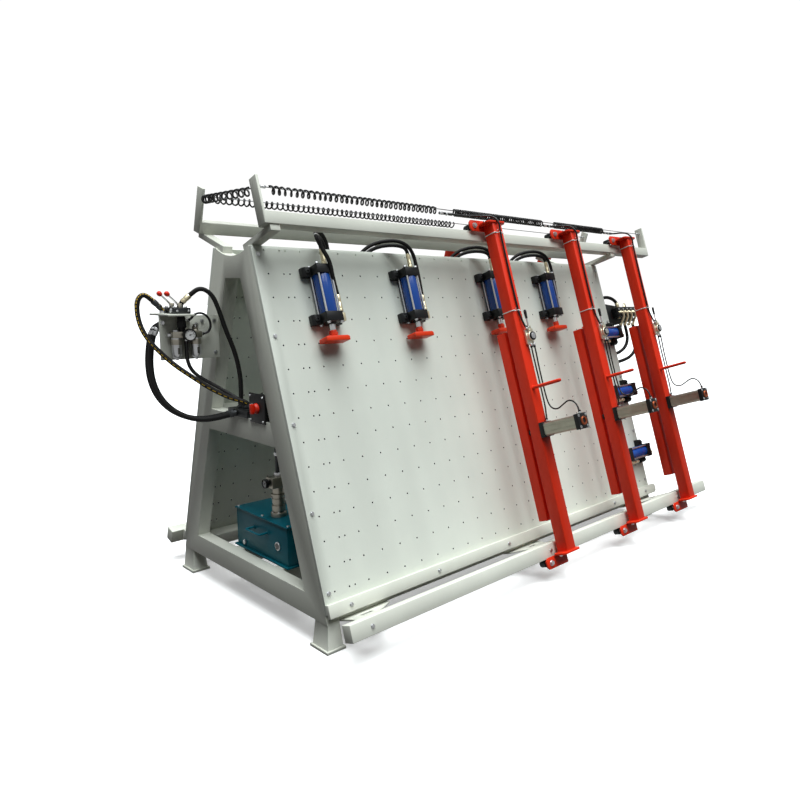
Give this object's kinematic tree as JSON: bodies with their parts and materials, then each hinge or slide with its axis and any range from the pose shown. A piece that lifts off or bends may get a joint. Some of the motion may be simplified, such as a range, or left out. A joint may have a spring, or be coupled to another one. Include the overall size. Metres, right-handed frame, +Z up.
{
  "type": "frame assembly press",
  "caption": "Double-sided leaning press for assembling wooden window and door frames: drilled work panels, hydraulic rams along two edges, and sliding clamp beams with air cylinders.",
  "frame": {"origin": "on the floor, under the middle of the machine's length and depth", "axes": "+X along the machine towards the side rams, +Y from the front panel to the rear panel, +Z up"},
  "size_m": [3.2468, 1.9652, 1.898],
  "materials": {
    "frame_paint": "satin",
    "panel_paint": "satin",
    "beam_paint": "semi-gloss",
    "barrel_paint": "gloss",
    "cap_paint": "satin",
    "bar_paint": "satin",
    "bright_steel": "bright",
    "wire_steel": "drawn",
    "cast_aluminium": "satin",
    "fitting_brass": "plated",
    "hose_rubber": "matt",
    "air_hose": "gloss",
    "tank_paint": "gloss",
    "black_plastic": "matt",
    "red_plastic": "gloss",
    "lever_steel": "bright"
  },
  "bodies": {
    "frame": {"left_end_frame": "frame_paint", "right_end_frame": "frame_paint", "frame_stretchers": "frame_paint", "front_work_panel": "panel_paint", "rear_work_panel": "panel_paint", "bottom_fences": "frame_paint", "bottom_guide_rails": "frame_paint", "top_guide_rails": "frame_paint", "wire_ropes": "wire_steel", "ram_barrels": "barrel_paint", "ram_end_caps": "cap_paint", "ram_tie_rods": "bright_steel", "hose_fittings": "fitting_brass", "hydraulic_hoses": "hose_rubber", "spiral_air_hoses": "air_hose", "oil_tank": "tank_paint", "hydraulic_pump": "cast_aluminium", "control_bracket": "frame_paint", "air_preparation_unit": "black_plastic", "switch_box": "black_plastic"},
    "front_carriage_1": {"front_beam_1": "beam_paint", "front_air_cylinder_1": "cast_aluminium", "front_beam_hoses_1": "air_hose"},
    "front_press_bar_1": {"front_press_bar_1": "bar_paint"},
    "front_valve_lever_1": {"front_valve_lever_1": "lever_steel"},
    "front_carriage_2": {"front_beam_2": "beam_paint", "front_air_cylinder_2": "cast_aluminium", "front_beam_hoses_2": "air_hose"},
    "front_press_bar_2": {"front_press_bar_2": "bar_paint"},
    "front_valve_lever_2": {"front_valve_lever_2": "lever_steel"},
    "front_carriage_3": {"front_beam_3": "beam_paint", "front_air_cylinder_3": "cast_aluminium", "front_beam_hoses_3": "air_hose"},
    "front_press_bar_3": {"front_press_bar_3": "bar_paint"},
    "front_valve_lever_3": {"front_valve_lever_3": "lever_steel"},
    "rear_carriage_1": {"rear_beam_1": "beam_paint", "rear_air_cylinder_1": "cast_aluminium"},
    "rear_press_bar_1": {"rear_press_bar_1": "bar_paint"},
    "rear_valve_lever_1": {"rear_valve_lever_1": "lever_steel"},
    "rear_carriage_2": {"rear_beam_2": "beam_paint", "rear_air_cylinder_2": "cast_aluminium"},
    "rear_press_bar_2": {"rear_press_bar_2": "bar_paint"},
    "rear_valve_lever_2": {"rear_valve_lever_2": "lever_steel"},
    "rear_carriage_3": {"rear_beam_3": "beam_paint", "rear_air_cylinder_3": "cast_aluminium"},
    "rear_press_bar_3": {"rear_press_bar_3": "bar_paint"},
    "rear_valve_lever_3": {"rear_valve_lever_3": "lever_steel"},
    "front_top_ram_1": {"front_top_ram_1": "bar_paint"},
    "front_top_ram_2": {"front_top_ram_2": "bar_paint"},
    "front_top_ram_3": {"front_top_ram_3": "bar_paint"},
    "front_top_ram_4": {"front_top_ram_4": "bar_paint"},
    "front_side_ram_1": {"front_side_ram_1": "bar_paint"},
    "front_side_ram_2": {"front_side_ram_2": "bar_paint"},
    "front_side_ram_3": {"front_side_ram_3": "bar_paint"},
    "rear_top_rams": {"rear_top_rams": "bar_paint"},
    "rear_side_rams": {"rear_side_rams": "bar_paint"},
    "valve_lever_1": {"valve_lever_1": "lever_steel"},
    "valve_lever_2": {"valve_lever_2": "lever_steel"},
    "switch_knob": {"switch_knob": "red_plastic"},
    "regulator_knob": {"regulator_knob": "black_plastic"}
  },
  "joints": [
    {"name": "front_beam_1_slide", "type": "slide", "parent": "frame", "child": "front_carriage_1", "axis": [1, 0, 0], "range_m": [-0.85, 0.32], "deforming": ["spiral_air_hoses"]},
    {"name": "front_press_bar_1_slide", "type": "slide", "parent": "front_carriage_1", "child": "front_press_bar_1", "axis": [0, -0.95, 0.3123], "range_m": [-0.1, 0]},
    {"name": "front_valve_lever_1_hinge", "type": "hinge", "parent": "front_carriage_1", "child": "front_valve_lever_1", "pos_m": [-0.0275, -0.58176, 1.26525], "axis": [1, 0, 0], "range_deg": [-5, 35]},
    {"name": "front_beam_2_slide", "type": "slide", "parent": "frame", "child": "front_carriage_2", "axis": [1, 0, 0], "range_m": [-0.32, 0.07], "deforming": ["spiral_air_hoses"]},
    {"name": "front_press_bar_2_slide", "type": "slide", "parent": "front_carriage_2", "child": "front_press_bar_2", "axis": [0, -0.95, 0.3123], "range_m": [-0.1, 0]},
    {"name": "front_valve_lever_2_hinge", "type": "hinge", "parent": "front_carriage_2", "child": "front_valve_lever_2", "pos_m": [0.6455, -0.58176, 1.26525], "axis": [1, 0, 0], "range_deg": [-5, 35]},
    {"name": "front_beam_3_slide", "type": "slide", "parent": "frame", "child": "front_carriage_3", "axis": [-1, 0, 0], "range_m": [-0.28, 0.335], "deforming": ["spiral_air_hoses"]},
    {"name": "front_press_bar_3_slide", "type": "slide", "parent": "front_carriage_3", "child": "front_press_bar_3", "axis": [0, -0.95, 0.3123], "range_m": [-0.1, 0]},
    {"name": "front_valve_lever_3_hinge", "type": "hinge", "parent": "front_carriage_3", "child": "front_valve_lever_3", "pos_m": [1.2605, -0.58176, 1.26525], "axis": [1, 0, 0], "range_deg": [-5, 35]},
    {"name": "rear_beam_1_slide", "type": "slide", "parent": "frame", "child": "rear_carriage_1", "axis": [1, 0, 0], "range_m": [-1.4, 0.195], "deforming": ["spiral_air_hoses"]},
    {"name": "rear_press_bar_1_slide", "type": "slide", "parent": "rear_carriage_1", "child": "rear_press_bar_1", "axis": [0, 0.95, 0.3123], "range_m": [-0.1, 0]},
    {"name": "rear_valve_lever_1_hinge", "type": "hinge", "parent": "rear_carriage_1", "child": "rear_valve_lever_1", "pos_m": [0.3875, 0.58176, 1.26525], "axis": [-1, 0, 0], "range_deg": [-5, 35]},
    {"name": "rear_beam_2_slide", "type": "slide", "parent": "frame", "child": "rear_carriage_2", "axis": [1, 0, 0], "range_m": [-0.2, 0.12]},
    {"name": "rear_press_bar_2_slide", "type": "slide", "parent": "rear_carriage_2", "child": "rear_press_bar_2", "axis": [0, 0.95, 0.3123], "range_m": [-0.1, 0]},
    {"name": "rear_valve_lever_2_hinge", "type": "hinge", "parent": "rear_carriage_2", "child": "rear_valve_lever_2", "pos_m": [0.7955, 0.58176, 1.26525], "axis": [-1, 0, 0], "range_deg": [-5, 35]},
    {"name": "rear_beam_3_slide", "type": "slide", "parent": "frame", "child": "rear_carriage_3", "axis": [-1, 0, 0], "range_m": [-0.215, 0.2]},
    {"name": "rear_press_bar_3_slide", "type": "slide", "parent": "rear_carriage_3", "child": "rear_press_bar_3", "axis": [0, 0.95, 0.3123], "range_m": [-0.1, 0]},
    {"name": "rear_valve_lever_3_hinge", "type": "hinge", "parent": "rear_carriage_3", "child": "rear_valve_lever_3", "pos_m": [1.3255, 0.58176, 1.26525], "axis": [-1, 0, 0], "range_deg": [-5, 35]},
    {"name": "front_top_ram_1_slide", "type": "slide", "parent": "frame", "child": "front_top_ram_1", "axis": [0, -0.3123, -0.95], "range_m": [0, 0.11]},
    {"name": "front_top_ram_2_slide", "type": "slide", "parent": "frame", "child": "front_top_ram_2", "axis": [0, -0.3123, -0.95], "range_m": [0, 0.11]},
    {"name": "front_top_ram_3_slide", "type": "slide", "parent": "frame", "child": "front_top_ram_3", "axis": [0, -0.3123, -0.95], "range_m": [0, 0.11]},
    {"name": "front_top_ram_4_slide", "type": "slide", "parent": "frame", "child": "front_top_ram_4", "axis": [0, -0.3123, -0.95], "range_m": [0, 0.11]},
    {"name": "front_side_ram_1_slide", "type": "slide", "parent": "frame", "child": "front_side_ram_1", "axis": [-1, 0, 0], "range_m": [0, 0.11]},
    {"name": "front_side_ram_2_slide", "type": "slide", "parent": "frame", "child": "front_side_ram_2", "axis": [-1, 0, 0], "range_m": [0, 0.11]},
    {"name": "front_side_ram_3_slide", "type": "slide", "parent": "frame", "child": "front_side_ram_3", "axis": [-1, 0, 0], "range_m": [0, 0.11]},
    {"name": "rear_top_rams_slide", "type": "slide", "parent": "frame", "child": "rear_top_rams", "axis": [0, 0.3123, -0.95], "range_m": [0, 0.11]},
    {"name": "rear_side_rams_slide", "type": "slide", "parent": "frame", "child": "rear_side_rams", "axis": [-1, 0, 0], "range_m": [0, 0.11]},
    {"name": "valve_lever_1_hinge", "type": "hinge", "parent": "frame", "child": "valve_lever_1", "pos_m": [-1.5075, 0.117, 1.373], "axis": [0, 1, 0], "range_deg": [-15, 15]},
    {"name": "valve_lever_2_hinge", "type": "hinge", "parent": "frame", "child": "valve_lever_2", "pos_m": [-1.5075, 0.193, 1.373], "axis": [0, 1, 0], "range_deg": [-15, 15]},
    {"name": "switch_knob_turn", "type": "hinge", "parent": "frame", "child": "switch_knob", "pos_m": [-1.33, -0.17, 0.942], "axis": [1, 0, 0], "range_deg": [0, 90]},
    {"name": "regulator_knob_turn", "type": "hinge", "parent": "frame", "child": "regulator_knob", "pos_m": [-1.4975, 0.127, 1.302], "axis": [0, 0, 1], "range_deg": [-135, 135]}
  ],
  "couplings": [
    {"joint": "front_top_ram_2_slide", "follows": "front_top_ram_1_slide", "ratio": 1},
    {"joint": "front_top_ram_3_slide", "follows": "front_top_ram_1_slide", "ratio": 1},
    {"joint": "front_top_ram_4_slide", "follows": "front_top_ram_1_slide", "ratio": 1},
    {"joint": "front_side_ram_2_slide", "follows": "front_side_ram_1_slide", "ratio": 1},
    {"joint": "front_side_ram_3_slide", "follows": "front_side_ram_1_slide", "ratio": 1}
  ]
}
